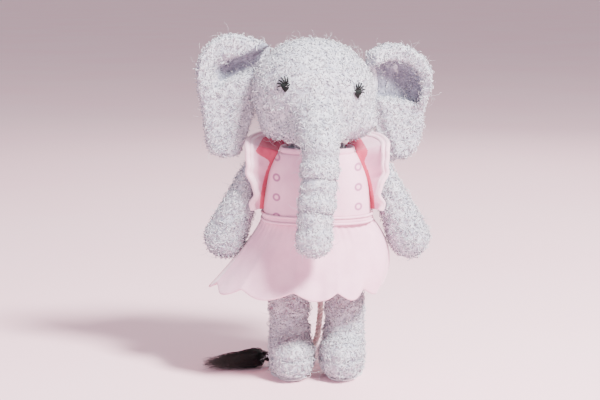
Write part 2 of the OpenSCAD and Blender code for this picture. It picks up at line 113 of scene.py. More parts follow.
# Where each eye's middle stands on the face: across and up
EYES = {"left": (27.3, 210.8), "right": (-22, 215.6)}
# Each lash's angle outward from straight up, in degrees, and its length
LASHES = [(-24, 4.2), (-4, 5.0), (16, 5.4), (36, 5.2), (58, 4.6), (80, 3.6)]
# Each band's lower and upper edge, and whether it is edged with piping
BANDS = {"neck_binding": (165, 170, False), "waistband": (117.5, 122.5, True)}
# Each bodice panel's first and last angle, and its flat size in metres
BODICE_PANELS = {
    "bodice_front": (180, 360, (0.108, 0.0435)),
    "bodice_back_left": (0, 89.8, (0.054, 0.0435)),
    "bodice_back_right": (90.2, 180, (0.054, 0.0435)),
}
# How much squarer than an ellipse the bodice is
SQUARENESS = 0.09
# Printed rings: distance from the middle, step between two, and shift of the left side's
RING_OUT, RING_STEP, RING_SHIFT = 29.2, 13.6, 6.5
PELLET = 3
CAMERA_AIM = Vector((-12.4, 0, 130.3))

# The floor's half-width, and each lamp's place and size, in metres, its power in watts and its colour
FLOOR_HALF = 40
LAMPS = {
    "key_light": ((0.8, -0.8, 1.35), 0.32, 125, "#fffcfa"),
    "fill_light": ((-1.1, -0.9, 0.7), 1.2, 7, "#e6dcf2"),
    "rim_light": ((0.3, 1.2, 0.9), 0.9, 8, "#fff0ee"),
}
LAMPS_AIM = Vector((0, 0, 0.12))
WORLD_STRENGTH = 0.72


def linear(code):
    """Linear colour of an sRGB hex value."""
    parts = [int(code[i:i + 2], 16) / 255 for i in (1, 3, 5)]
    return [p / 12.92 if p <= 0.04045 else ((p + 0.055) / 1.055) ** 2.4 for p in parts] + [1.0]


def ease(low, high, value):
    """Rise smoothly from 0 at low to 1 at high."""
    t = min(1.0, max(0.0, (value - low) / (high - low)))
    return t * t * (3 - 2 * t)


def bell(value, middle, width):
    """Rise to 1 at the middle and fall to 0 on both sides of it."""
    return math.exp(-((value - middle) / width) ** 2)


def hue(name, description, code):
    """A colour that a user would change."""
    return bpy.props.FloatVectorProperty(
        name=name, description=description, subtype="COLOR", size=4, min=0, max=1, default=linear(code)
    )


def span(name, description, millimetres):
    """A length that a user would change."""
    return bpy.props.FloatProperty(
        name=name, description=description, default=millimetres * MM, min=0, unit="LENGTH", precision=4
    )


class PlushSettings(bpy.types.PropertyGroup):
    """The elephant's own fabrics."""

    tip: hue("Yarn tips", "Colour of the pile where it catches the light", "#f6f6f9")
    # The roots' greyer colour is painted shade between the locks
    root: hue("Yarn roots", "Colour of the pile near its backing", "#a4a6b4")
    # The lining colour is the plush's mauve-grey, darkened further as painted shade in the ears' hollows
    lining: hue("Ear lining", "Colour of the short plush inside the ears", "#9698a8")
    thread: hue("Eye thread", "Colour of the embroidered eyes", "#020405")
    gap: span("Lock gap", "Distance between two locks of the pile", 1.17)
    lock: span("Lock step", "Length of each bent piece of a lock", 1.1)
    width: span("Lock width", "Thickness of a lock at its root", 0.76)


class DressSettings(bpy.types.PropertyGroup):
    """The dress's fabrics and sizes."""

    pink: hue("Velour", "Colour of the dress", "#f5c3d8")
    mauve: hue("Print", "Colour of the printed rings", "#a8668f")
    trim: hue("Trim", "Colour of the rolled hems and bindings", "#f6cddd")
    coral: hue("Lining", "Colour of the dress's lining", "#dc6480")
    ring: span("Ring", "Radius of a printed ring", 2.1)
    cloth: span("Cloth", "Thickness of the velour", 1.4)
    ruffle: span("Ruffle", "Width of a sleeve's ruffle at the shoulder", 25)


class TailSettings(bpy.types.PropertyGroup):
    """The tail's cord and tuft."""

    cream: hue("Cord", "Colour of the cord's paler strands", "#f0dfd9")
    blush: hue("Blush", "Colour of the cord's pinker strand", "#e9c3c3")
    hair: hue("Hair", "Colour of the tuft at its root", "#0a0807")
    worn: hue("Hair ends", "Colour of the tuft at its tip", "#4b4340")
    cord: span("Cord diameter", "Diameter of the twisted cord", 5)
    lay: span("Lay", "Length of one turn of the twist", 9)
    hairs: bpy.props.IntProperty(name="Hairs", description="Number of hairs in the tuft", default=760, min=50)


class StageSettings(bpy.types.PropertyGroup):
    """Floor, light and camera."""

    floor: hue("Floor", "Colour of the floor", "#ffd2dd")
    sky: hue("Sky", "Colour of the light from all round", "#f3eff5")
    rise: bpy.props.FloatProperty(
        name="Camera rise", description="Angle of the camera above level",
        default=math.radians(9), subtype="ANGLE",
    )
    away: span("Camera distance", "Distance from the camera to what it looks at", 1033)
    lens: bpy.props.FloatProperty(name="Lens", description="Focal length in millimetres", default=85, min=20)


# Node trees and finishes


def add_node(tree, kind, settings=None, feeds=None):
    """Add one node, set it up, and give each input a value or the socket that feeds it."""
    node = tree.nodes.new(kind)
    for name, value in (settings or {}).items():
        setattr(node, name, value)
    for socket, value in (feeds or {}).items():
        if isinstance(value, bpy.types.NodeSocket):
            tree.links.new(value, node.inputs[socket])
        else:
            node.inputs[socket].default_value = value
    return node


def new_finish(name):
    """An empty material and its node tree."""
    material = bpy.data.materials.new(name)
    material.use_nodes = True
    material.node_tree.nodes.clear()
    return material, material.node_tree


def woven(name, low, high, patch, grain, depth, roughness, sheen, share=(0.35, 0.65)):
    """A cloth finish: two colours in patches, a grain with its depth in millimetres, and its sheen."""
    material, tree = new_finish(name)
    place = add_node(tree, "ShaderNodeTexCoord").outputs["Object"]
    mottle = add_node(tree, "ShaderNodeTexNoise", feeds={
        "Vector": place, "Scale": 1 / (patch * MM), "Detail": 3.0,
    }).outputs["Fac"]
    tone = add_node(tree, "ShaderNodeMapRange", feeds={
        "Value": mottle, "From Min": share[0], "From Max": share[1],
    }).outputs[0]
    colour = add_node(tree, "ShaderNodeMix", {"data_type": "RGBA"}, {0: tone, 6: low, 7: high}).outputs[2]
    fine = add_node(tree, "ShaderNodeTexNoise", feeds={
        "Vector": place, "Scale": 1 / (grain * MM), "Detail": 1.0,
    }).outputs["Fac"]
    bump = add_node(tree, "ShaderNodeBump", feeds={"Height": fine, "Distance": depth * MM, "Strength": 1.0})
    shader = add_node(tree, "ShaderNodeBsdfPrincipled", feeds={
        "Base Color": colour,
        "Roughness": roughness,
        "Sheen Weight": sheen,
        "Sheen Roughness": 0.4,
        "Specular IOR Level": 0.25,
        "Normal": bump.outputs["Normal"],
    })
    add_node(tree, "ShaderNodeOutputMaterial", feeds={"Surface": shader.outputs[0]})
    return material, tree, shader, place


def mixed(low, high, share):
    """A colour a share of the way from one to another."""
    return [a + (b - a) * share for a, b in zip(low, high)]


def pile_finish(name, root, tip):
    """Yarn that is greyer at its root, as painted shade between the locks, and paler at its tip, with faint
    patches.
    """
    material, tree = new_finish(name)
    place = add_node(tree, "ShaderNodeTexCoord").outputs["Object"]
    along = add_node(tree, "ShaderNodeAttribute", {"attribute_name": "along"}).outputs["Fac"]
    lit = add_node(tree, "ShaderNodeMapRange", feeds={"Value": along, "From Max": 0.75}).outputs[0]
    mottle = add_node(tree, "ShaderNodeTexNoise", feeds={
        "Vector": place, "Scale": 1 / (9 * MM), "Detail": 3.0,
    }).outputs["Fac"]
    patch = add_node(tree, "ShaderNodeMapRange", feeds={
        "Value": mottle, "From Min": 0.35, "From Max": 0.7,
    }).outputs[0]
    yarn = add_node(tree, "ShaderNodeMix", {"data_type": "RGBA"}, {
        0: patch, 6: mixed(root, tip, 0.72), 7: tip,
    }).outputs[2]
    # Painted shade: along each lock the colour darkens from the yarn's own towards the root colour near the
    # backing
    colour = add_node(tree, "ShaderNodeMix", {"data_type": "RGBA"}, {0: lit, 6: root, 7: yarn}).outputs[2]
    shader = add_node(tree, "ShaderNodeBsdfPrincipled", feeds={
        "Base Color": colour,
        "Roughness": 0.85,
        "Sheen Weight": 0.35,
        "Sheen Roughness": 0.5,
        "Specular IOR Level": 0.2,
    })
    add_node(tree, "ShaderNodeOutputMaterial", feeds={"Surface": shader.outputs[0]})
    return material


@functools.cache
def curly_pile():
    """Bouclé yarn of acrylic: matt, pale, and shaded between its loops."""
    plush = bpy.context.scene.plush
    return pile_finish("curly_pile", plush.root[:], plush.tip[:])


@functools.cache
def lining_pile():
    """Sheared plush: the ears' insides, mauve-grey and finer than the curls, its colour darkened as painted
    shade in the ear's hollow.
    """
    plush = bpy.context.scene.plush
    # Its roots are darker still, as painted shade between the tufts
    return pile_finish("lining_pile", mixed(plush.lining[:], linear("#4f4f5e"), 0.6), plush.lining[:])


@functools.cache
def curly_plush():
    """Knitted backing of the bouclé plush, seen as shade between the locks."""
    plush = bpy.context.scene.plush
    root = plush.root[:]
    return woven("curly_plush", root, mixed(root, plush.tip[:], 0.45), 5, 1.6, 0.6, 0.95, 0.2)[0]


@functools.cache
def short_plush():
    """Knitted backing of the sheared ear lining, seen as painted shade between the nap; its colour is
    darkened as painted shade in the ear's hollow.
    """
    plush = bpy.context.scene.plush
    return woven(
        "short_plush", mixed(plush.lining[:], linear("#474857"), 0.5), plush.lining[:], 6, 1.2, 0.4, 0.9, 0.4
    )[0]


@functools.cache
def sole_plush():
    """Short-napped plush under the feet, a little soiled by the floor."""
    return woven("sole_plush", linear("#c3c0c6"), linear("#dcdbe0"), 8, 0.9, 0.3, 0.9, 0.3)[0]


@functools.cache
def polyester_filling():
    """Carded polyester fibre: white, airy and streaked."""
    return woven("polyester_filling", linear("#e6e6e2"), linear("#fafaf7"), 4, 1.5, 0.8, 0.9, 0.3)[0]


@functools.cache
def plastic_pellets():
    """Moulded polypropylene beads in a bag, with painted shade in the gaps between them and a soft gloss."""
    material, tree = new_finish("plastic_pellets")
    place = add_node(tree, "ShaderNodeTexCoord").outputs["Object"]
    beads = add_node(
        tree, "ShaderNodeTexVoronoi", feeds={"Vector": place, "Scale": 1 / (PELLET * MM)}
    ).outputs["Distance"]
    gaps = add_node(tree, "ShaderNodeMapRange", feeds={
        "Value": beads, "From Min": 0.3, "From Max": 0.7,
    }).outputs[0]
    # Painted shade: the colour darkens towards the gaps between the beads
    colour = add_node(tree, "ShaderNodeMix", {"data_type": "RGBA"}, {
        0: gaps, 6: linear("#f1f1ec"), 7: linear("#8d8d88"),
    }).outputs[2]
    height = add_node(tree, "ShaderNodeMapRange", feeds={
        "Value": beads, "From Max": 0.8, "To Min": 1.0, "To Max": 0.0,
    }).outputs[0]
    bump = add_node(tree, "ShaderNodeBump", feeds={"Height": height, "Distance": 1.2 * MM, "Strength": 1.0})
    shader = add_node(tree, "ShaderNodeBsdfPrincipled", feeds={
        "Base Color": colour,
        "Roughness": 0.45,
        "Normal": bump.outputs["Normal"],
    })
    add_node(tree, "ShaderNodeOutputMaterial", feeds={"Surface": shader.outputs[0]})
    return material


@functools.cache
def embroidery_thread():
    """Rayon thread in satin stitch: near black with a thin bright line along each thread."""
    return woven(
        "embroidery_thread", bpy.context.scene.plush.thread[:], linear("#06100f"), 1.2, 0.3, 0.1, 0.5, 0.0
    )[0]


def velour(name):
    """Cotton velour: a dense short nap, with a soft mottle of painted sheen and shade."""
    pink = bpy.context.scene.dress.pink[:]
    # The darker mauve-toned colour and its patches paint the velour's sheen and shade over its own pink
    return woven(name, mixed(pink, linear("#c987ab"), 0.3), pink, 11, 0.9, 0.12, 0.8, 0.6, (0.3, 0.7))


@functools.cache
def pink_velour():
    """The dress's plain velour."""
    return velour("pink_velour")[0]


@functools.cache
def printed_velour():
    """The same velour with small mauve rings printed down both sides of the front."""
    dress = bpy.context.scene.dress
    material, tree, shader, place = velour("printed_velour")
    axes = add_node(tree, "ShaderNodeSeparateXYZ", feeds={"Vector": place}).outputs
    across = add_node(tree, "ShaderNodeMath", {"operation": "ABSOLUTE"}, {0: axes["X"]}).outputs[0]
    out = add_node(tree, "ShaderNodeMath", {"operation": "SUBTRACT"}, {
        0: across, 1: RING_OUT * MM,
    }).outputs[0]
    # The two sides' rings stand about half a step apart in height
    left = add_node(tree, "ShaderNodeMath", {"operation": "GREATER_THAN"}, {0: axes["X"], 1: 0.0}).outputs[0]
    level = add_node(tree, "ShaderNodeMath", {"operation": "MULTIPLY_ADD"}, {
        0: left, 1: RING_SHIFT * MM, 2: axes["Z"],
    }).outputs[0]
    half_step = RING_STEP / 2 * MM
    up = add_node(tree, "ShaderNodeMath", {"operation": "WRAP"}, {
        0: level, 1: half_step, 2: -half_step,
    }).outputs[0]
    point = add_node(tree, "ShaderNodeCombineXYZ", feeds={"X": out, "Y": up}).outputs[0]
    reach = add_node(tree, "ShaderNodeVectorMath", {"operation": "LENGTH"}, {0: point}).outputs["Value"]
    off = add_node(tree, "ShaderNodeMath", {"operation": "SUBTRACT"}, {0: reach, 1: dress.ring}).outputs[0]
    far = add_node(tree, "ShaderNodeMath", {"operation": "ABSOLUTE"}, {0: off}).outputs[0]
    ring = add_node(tree, "ShaderNodeMapRange", feeds={
        "Value": far, "From Min": 0.4 * MM, "From Max": 1.0 * MM, "To Min": 0.9, "To Max": 0.0,
    }).outputs[0]
    front = add_node(tree, "ShaderNodeMath", {"operation": "LESS_THAN"}, {0: axes["Y"], 1: 0.0}).outputs[0]
    mask = add_node(tree, "ShaderNodeMath", {"operation": "MULTIPLY"}, {0: ring, 1: front}).outputs[0]
    plain = shader.inputs["Base Color"].links[0].from_socket
    printed = add_node(tree, "ShaderNodeMix", {"data_type": "RGBA"}, {
        0: mask, 6: plain, 7: dress.mauve[:],
    }).outputs[2]
    tree.links.new(printed, shader.inputs["Base Color"])
    return material


@functools.cache
def pale_trim():
    """Knitted cotton binding, folded double, paler than the velour."""
    trim = bpy.context.scene.dress.trim[:]
    return woven("pale_trim", mixed(trim, linear("#e3bccd"), 0.4), trim, 5, 0.8, 0.15, 0.75, 0.5)[0]


@functools.cache
def coral_lining():
    """Plain woven cotton in coral, with a faint weave."""
    coral = bpy.context.scene.dress.coral[:]
    return woven("coral_lining", mixed(coral, linear("#b8405e"), 0.4), coral, 6, 0.7, 0.1, 0.7, 0.2)[0]


@functools.cache
def hook_and_loop():
    """Nylon hook and loop tape: pale, rough and faintly glossy."""
    return woven("hook_and_loop_tape", linear("#e2c6d1"), linear("#f4e4ea"), 3, 0.6, 0.4, 0.55, 0.1)[0]


@functools.cache
def twisted_cord(pinker):
    """Twisted cotton cord, each strand of soft matt fibre."""
    tail = bpy.context.scene.tail
    colour = tail.blush[:] if pinker else tail.cream[:]
    return woven(
        "twisted_cord_blush" if pinker else "twisted_cord_cream",
        mixed(colour, linear("#c99f98"), 0.35), colour, 2.5, 0.5, 0.2, 0.8, 0.3,
    )[0]


@functools.cache
def black_binding():
    """Waxed black thread wound round the tuft's root."""
    return woven("black_binding", linear("#0c0b0b"), linear("#201d1c"), 2, 0.4, 0.1, 0.5, 0.1)[0]


@functools.cache
def dark_hair():
    """Long synthetic hair, black-brown at its root and browner and duller towards its ends."""
    tail = bpy.context.scene.tail
    material, tree = new_finish("dark_hair")
    place = add_node(tree, "ShaderNodeTexCoord").outputs["Object"]
    across = add_node(tree, "ShaderNodeSeparateXYZ", feeds={"Vector": place}).outputs["X"]
    worn = add_node(tree, "ShaderNodeMapRange", feeds={
        "Value": across, "From Min": (TUFT_ROOT.x - 8) * MM, "From Max": TUFT_TIP.x * MM,
    }).outputs[0]
    tone = add_node(tree, "ShaderNodeTexNoise", feeds={
        "Vector": place, "Scale": 1 / (2.5 * MM), "Detail": 1.0,
    }).outputs["Fac"]
    share = add_node(tree, "ShaderNodeMath", {"operation": "MULTIPLY"}, {0: worn, 1: tone}).outputs[0]
    dull = add_node(tree, "ShaderNodeMapRange", feeds={"Value": share, "From Max": 0.6}).outputs[0]
    colour = add_node(tree, "ShaderNodeMix", {"data_type": "RGBA"}, {
        0: dull, 6: tail.hair[:], 7: tail.worn[:],
    }).outputs[2]
    shader = add_node(tree, "ShaderNodeBsdfPrincipled", feeds={
        "Base Color": colour,
        "Roughness": 0.42,
        "Specular IOR Level": 0.4,
    })
    add_node(tree, "ShaderNodeOutputMaterial", feeds={"Surface": shader.outputs[0]})
    return material


@functools.cache
def floor_paper():
    """Matt seamless paper."""
    floor = bpy.context.scene.stage.floor[:]
    return woven("floor_paper", mixed(floor, linear("#ffffff"), 0.1), floor, 400, 2, 0.02, 0.9, 0.0)[0]


# Pieces


def add_object(name, mesh):
    """Put a mesh in the scene."""
    obj = bpy.data.objects.new(name, mesh)
    bpy.context.scene.collection.objects.link(obj)
    return obj


def from_bmesh(name, bm):
    """Put a finished bmesh in the scene."""
    mesh = bpy.data.meshes.new(name)
    bm.to_mesh(mesh)
    bm.free()
    return add_object(name, mesh)


def settle(obj):
    """Make a piece's modifiers part of its mesh."""
    graph = bpy.context.evaluated_depsgraph_get()
    made = bpy.data.meshes.new_from_object(
        obj.evaluated_get(graph), preserve_all_data_layers=True, depsgraph=graph
    )
    obj.modifiers.clear()
    old, obj.data = obj.data, made
    bpy.data.meshes.remove(old)
    made.name = obj.name


def add_modifier(obj, kind, **settings):
    """Add one modifier with its settings."""
    modifier = obj.modifiers.new(kind.title(), kind)
    for name, value in settings.items():
        setattr(modifier, name, value)


def as_piece(obj, body, finishes, nodes=()):
    """Finish a piece, and let it ride on its body in place of its nodes."""
    obj.data.materials.clear()
    for finish in finishes:
        obj.data.materials.append(finish)
    obj.data.shade_smooth()
    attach(obj, body)
    if nodes:
        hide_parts(*nodes)
    return obj


def plush_form(name, nodes, voxel=2.2, rounds=8, inset=2.4, shape=None, fills=()):
    """The outside of a stuffed shell, with round fills at its folds, drawn in by most of its pile."""
    bm = bmesh.new()
    for node in nodes:
        bm.from_mesh(frame["nodes"][node].data)
    bmesh.ops.remove_doubles(bm, verts=bm.verts, dist=1e-5)
    for middle, radii in fills:
        ball = bmesh.ops.create_icosphere(bm, subdivisions=3, radius=MM)["verts"]
        bmesh.ops.scale(bm, verts=ball, vec=radii)
        bmesh.ops.translate(bm, verts=ball, vec=Vector(middle) * MM)
    obj = from_bmesh(name, bm)
    add_modifier(obj, "REMESH", mode="VOXEL", voxel_size=voxel * MM)
    add_modifier(obj, "SMOOTH", factor=0.5, iterations=rounds)
    settle(obj)
    bm = bmesh.new()
    bm.from_mesh(obj.data)
    keep_largest(bm)
    bm.normal_update()
    moves = []
    for vert in bm.verts:
        place, way = vert.co / MM, vert.normal.copy()
        lumps = 0.5 * noise.noise(place / 9) + 0.25 * noise.noise(place / 4)
        move = way * (lumps - inset)
        if shape:
            move += shape(place, way)
        moves.append(move * MM)
    for vert, move in zip(bm.verts, moves):
        vert.co += move
    bm.to_mesh(obj.data)
    bm.free()
    return obj


def keep_largest(bm):
    """Keep only the biggest connected skin."""
    left = set(bm.verts)
    best = set()
    while left:
        found = {left.pop()}
        edge = list(found)
        while edge:
            vert = edge.pop()
            for link in vert.link_edges:
                other = link.other_vert(vert)
                if other not in found:
                    found.add(other)
                    edge.append(other)
        left -= found
        if len(found) > len(best):
            best = found
    bmesh.ops.delete(bm, geom=[v for v in bm.verts if v not in best], context="VERTS")


# Pile


def lock_of_yarn(rng, number, steps, step, width, bend, taper):
    """One closed curl of yarn, three-sided, that bends as it goes."""
    bm = bmesh.new()
    along = bm.verts.layers.float.new("along")
    cells = bm.loops.layers.uv.new("OFBake")
    bmesh.ops.create_circle(bm, cap_ends=True, segments=3, radius=width / 2)
    bm.faces.ensure_lookup_table()
    face = bm.faces[0]
    heading = Vector((0, 0, 1))
    turn = rng.uniform(0, math.tau)
    axis = Vector((math.cos(turn), math.sin(turn), 0.25))
    for index in range(steps):
        made = bmesh.ops.extrude_face_region(bm, geom=[face])["geom"]
        ring = [g for g in made if isinstance(g, bmesh.types.BMVert)]
        face = next(g for g in made if isinstance(g, bmesh.types.BMFace))
        turned = Matrix.Rotation(bend * rng.uniform(0.7, 1.3), 3, axis)
        heading = turned @ heading
        bmesh.ops.translate(bm, verts=ring, vec=heading * step)
        middle = sum((v.co for v in ring), Vector()) / 3
        bmesh.ops.rotate(bm, verts=ring, cent=middle, matrix=turned)
        bmesh.ops.scale(bm, verts=ring, vec=(taper,) * 3, space=Matrix.Translation(-middle))
        for vert in ring:
            vert[along] = (index + 1) / steps
    bmesh.ops.recalc_face_normals(bm, faces=bm.faces)
    for each in bm.faces:
        for loop, u in zip(each.loops, (0.2, 0.8, 0.8, 0.2)):
            loop[cells].uv = (u, 0.1 + 0.8 * loop.vert[along] + (0.05 if u > 0.5 else 0))
    mesh = bpy.data.meshes.new(f"lock_{number}")
    bm.to_mesh(mesh)
    bm.free()
    mesh.shade_smooth()
    return bpy.data.objects.new(f"lock_{number}", mesh)


def lock_basket(scale, wisps):
    """Locks to choose from: most of them curled, and some long thin wisps."""
    plush = bpy.context.scene.plush
    rng = random.Random(5)
    basket = bpy.data.collections.new("locks")
    bpy.context.scene.collection.children.link(basket)
    for number in range(16):
        basket.objects.link(lock_of_yarn(
            rng, number, 4, plush.lock * scale * rng.uniform(0.85, 1.15), plush.width * scale,
            math.radians(rng.uniform(42, 78)), 0.84,
        ))
    for number in range(16, 16 + wisps):
        basket.objects.link(lock_of_yarn(
            rng, number, 4, plush.lock * 2.1 * scale, plush.width * 0.28,
            math.radians(rng.uniform(10, 22)), 0.75,
        ))
    return basket


def pile_nodes(basket, gap, seed):
    """Geometry nodes that stand a random lock on each of many well-spaced points of a skin."""
    tree = bpy.data.node_groups.new("grow_pile", "GeometryNodeTree")
    tree.interface.new_socket("Skin", in_out="INPUT", socket_type="NodeSocketGeometry")
    tree.interface.new_socket("Pile", in_out="OUTPUT", socket_type="NodeSocketGeometry")
    skin = add_node(tree, "NodeGroupInput").outputs["Skin"]
    mask = add_node(tree, "GeometryNodeInputNamedAttribute", {"data_type": "FLOAT"}, {"Name": "pile"})
    points = add_node(tree, "GeometryNodeDistributePointsOnFaces", {"distribute_method": "POISSON"}, {
        "Mesh": skin, "Distance Min": gap, "Density Max": 3 / gap ** 2,
        "Density Factor": mask.outputs["Attribute"], "Seed": seed,
    }).outputs
    locks = add_node(tree, "GeometryNodeCollectionInfo", feeds={
        "Collection": basket, "Separate Children": True, "Reset Children": True,
    }).outputs["Instances"]
    lean = add_node(tree, "FunctionNodeRandomValue", {"data_type": "FLOAT_VECTOR"}, {
        0: (-0.75, -0.75, 0), 1: (0.75, 0.75, math.tau), "Seed": seed + 1,
    }).outputs[0]
    stand = add_node(tree, "FunctionNodeRotateRotation", {"rotation_space": "LOCAL"}, {
        "Rotation": points["Rotation"], "Rotate By": lean,
    }).outputs[0]
    choice = add_node(tree, "FunctionNodeRandomValue", {"data_type": "INT"}, {
        4: 0, 5: len(basket.objects) - 1, "Seed": seed + 2,
    }).outputs[2]
    size = add_node(tree, "FunctionNodeRandomValue", {"data_type": "FLOAT"}, {
        2: 0.75, 3: 1.3, "Seed": seed + 3,
    }).outputs[1]
    placed = add_node(tree, "GeometryNodeInstanceOnPoints", feeds={
        "Points": points["Points"], "Instance": locks, "Pick Instance": True,
        "Instance Index": choice, "Rotation": stand, "Scale": size,
    }).outputs[0]
    made = add_node(tree, "GeometryNodeRealizeInstances", feeds={"Geometry": placed}).outputs[0]
    add_node(tree, "NodeGroupOutput", feeds={"Pile": made})
    return tree


def grow_pile(skin, name, body, finish, mask, seed, gap=1.0, scale=1.0, wisps=1):
    """Cover a skin with locks where its mask, from 0 to 1, lets them stand."""
    plush = bpy.context.scene.plush
    mesh = skin.data.copy()
    shares = [mask(v.co / MM, v.normal) for v in mesh.vertices]
    mesh.attributes.new("pile", "FLOAT", "POINT").data.foreach_set("value", shares)
    obj = add_object(name, mesh)
    basket = lock_basket(scale, wisps)
    tree = pile_nodes(basket, plush.gap * gap, seed)
    obj.modifiers.new("Pile", "NODES").node_group = tree
    settle(obj)
    bpy.data.node_groups.remove(tree)
    per_lock = len(basket.objects[0].data.loops)
    for lock in list(basket.objects):
        bpy.data.meshes.remove(lock.data)
    bpy.data.collections.remove(basket)
    # Each lock gets a cell of its own on the pile's colour sheet
    layer = obj.data.uv_layers["OFBake"]
    values = numpy.empty(len(obj.data.loops) * 2)
    layer.uv.foreach_get("vector", values)
    locks = len(obj.data.loops) // per_lock
    values = values.reshape(locks, per_lock, 2) * 0.9
    side = math.ceil(math.sqrt(locks))
    index = numpy.arange(locks)
    values[:, :, 0] = (values[:, :, 0] + (index % side)[:, None]) / side
    values[:, :, 1] = (values[:, :, 1] + (index // side)[:, None]) / side
    layer.uv.foreach_set("vector", values.ravel())
    # Locks that reach the floor lie down on it
    places = numpy.empty(len(obj.data.vertices) * 3)
    obj.data.vertices.foreach_get("co", places)
    lowest = 0.3 + 0.2 * numpy.sin(numpy.arange(len(places) // 3))
    places[2::3] = numpy.maximum(places[2::3], lowest * MM)
    obj.data.vertices.foreach_set("co", places)
    return as_piece(obj, body, [finish])


def thread_piece(name, lines, radius, sides=2, thin=None):
    """Threads or strands as closed round tubes along lines of points in millimetres."""
    curve = bpy.data.curves.new(name, "CURVE")
    curve.dimensions = "3D"
    curve.bevel_depth = radius * MM
    curve.bevel_resolution = sides
    curve.use_fill_caps = True
    for line in lines:
        spline = curve.splines.new("POLY")
        spline.points.add(len(line) - 1)
        for index, (point, place) in enumerate(zip(spline.points, line)):
            point.co = (*(Vector(place) * MM), 1)
            point.radius = thin(index / (len(line) - 1)) if thin else 1
    obj = bpy.data.objects.new(name, curve)
    bpy.context.scene.collection.objects.link(obj)
    graph = bpy.context.evaluated_depsgraph_get()
    mesh = bpy.data.meshes.new_from_object(obj.evaluated_get(graph))
    bpy.data.objects.remove(obj)
    bpy.data.curves.remove(curve)
    mesh.name = name
    return add_object(name, mesh)


def rounded_route(points, steps):
    """Points on a smooth curve through some points."""
    points = [Vector(p) for p in points]
    padded = [2 * points[0] - points[1], *points, 2 * points[-1] - points[-2]]
    route = []
    for a, b, c, d in zip(padded, padded[1:], padded[2:], padded[3:]):
        for index in range(steps):
            t = index / steps
            route.append(0.5 * (
                2 * b + (c - a) * t + (2 * a - 5 * b + 4 * c - d) * t ** 2 + (3 * b - a - 3 * c + d) * t ** 3
            ))
    return [*route, points[-1]]


class ELEPHANT_OT_camera(bpy.types.Operator):
    """Aim the camera, level with the elephant's head and a little above it"""

    bl_idname = "elephant.camera"
    bl_label = "Camera"

    def execute(self, context):
        stage = context.scene.stage
        camera = bpy.data.objects.new("camera", bpy.data.cameras.new("camera"))
        context.scene.collection.objects.link(camera)
        camera.data.lens = stage.lens
        camera.data.clip_start = 0.05
        back = Vector((0, -math.cos(stage.rise), math.sin(stage.rise))) * stage.away
        camera.location = CAMERA_AIM * MM + back
        camera.rotation_euler = back.to_track_quat("Z", "Y").to_euler()
        context.scene.camera = camera
        return {"FINISHED"}


def ring_spot(side, way, angle):
    """A direction across a line, turned by an angle from one of its sides."""
    return side * math.cos(angle) + way.cross(side) * math.sin(angle)


class ELEPHANT_OT_tail(bpy.types.Operator):
    """Twist the tail's cord, bind its end and lay out the tuft"""

    bl_idname = "elephant.tail"
    bl_label = "Tail"

    def execute(self, context):
        tail = context.scene.tail
        route = rounded_route(TAIL_ROUTE, 8)
        distances = [0]
        for a, b in zip(route, route[1:]):
            distances.append(distances[-1] + (b - a).length)
        strand = tail.cord / MM * 0.27
        strands = []
        for phase in range(3):
            line = []
            for index, place in enumerate(route):
                way = (route[min(index + 1, len(route) - 1)] - route[max(index - 1, 0)]).normalized()
                side = way.cross(Vector((0.3, 1, 0.3))).normalized()
                angle = math.tau * (distances[index] * MM / tail.lay + phase / 3)
                line.append(place + ring_spot(side, way, angle) * strand * 0.86)
            strands.append(line)
        cord = thread_piece("tail_cord_strands", strands, strand, 2)
        as_piece(cord, "torso", [twisted_cord(False), twisted_cord(True)], ["tail_cord"])
        per_strand = len(cord.data.polygons) // 3
        for face in cord.data.polygons:
            face.material_index = 1 if face.index >= 2 * per_strand else 0

        end = Vector(TAIL_ROUTE[-1])
        way = (TUFT_ROOT - end).normalized()
        side = way.cross(Vector((0, 0, 1))).normalized()
        turns, per_turn = 8, 12
        wound = []
        for index in range(turns * per_turn + 1):
            along = -0.6 + 6.2 * index / (turns * per_turn)
            wound.append(end + way * along + ring_spot(side, way, math.tau * index / per_turn) * 2.9)
        core = [end - way * 0.6, TUFT_ROOT + way * 0.6]
        binding = thread_piece("tuft_binding_thread", [wound, core], 0.75, 1)
        as_piece(binding, "torso", [black_binding()], ["tuft_binding"])

        rng = random.Random(11)
        hairs = []
        for _ in range(tail.hairs):
            angle, out = rng.uniform(0, math.tau), math.sqrt(rng.random())
            start = TUFT_ROOT - way * 1.5 + ring_spot(side, way, angle) * 2.4 * out
            length = rng.uniform(0.15, 1.0) + (0.16 * rng.random() if rng.random() < 0.06 else 0)
            finish = TUFT_ROOT.lerp(TUFT_TIP, length)
            finish.y += math.cos(angle) * out * 9 + rng.uniform(-4, 4)
            droop = 4.5 * (1 - length) * math.sin(angle) * out
            finish.z = max(0.6, finish.z * 0.6 + droop + rng.uniform(-1, 5))
            swell = Vector((0, math.cos(angle), math.sin(angle))) * out * 6.6
            drift = Vector((0, rng.uniform(-1, 1), rng.uniform(-1, 1))) * 1.5
            line = []
            for index in range(8):
                t = index / 7
                bow = swell * math.sin(math.pi * t ** 0.55) + drift * math.sin(7 * t)
                place = start.lerp(finish, t) + bow
                place.z = max(0.5, place.z)
                line.append(place)
            hairs.append(line)
        tuft = thread_piece("tail_tuft_hair", hairs, 0.24, 0, lambda t: 1 - 0.8 * t)
        as_piece(tuft, "torso", [dark_hair()], ["tail_tuft"])
        return {"FINISHED"}


class ELEPHANT_OT_torso(bpy.types.Operator):
    """Cover the stuffed torso, which shows at the neck and under the skirt"""

    bl_idname = "elephant.torso"
    bl_label = "Torso"

    def execute(self, context):
        skin = plush_form("torso_plush", ["torso_front", "torso_back", "torso_stuffing"], fills=[NECK_FILL])
        as_piece(skin, "torso", [curly_plush()], ["torso_front", "torso_back"])
        grow_pile(
            skin, "torso_pile", "torso", curly_pile(),
            lambda place, way: ease(166, 168, place.z) + 0.6 * ease(104, 100, place.z), 21,
        )
        return {"FINISHED"}


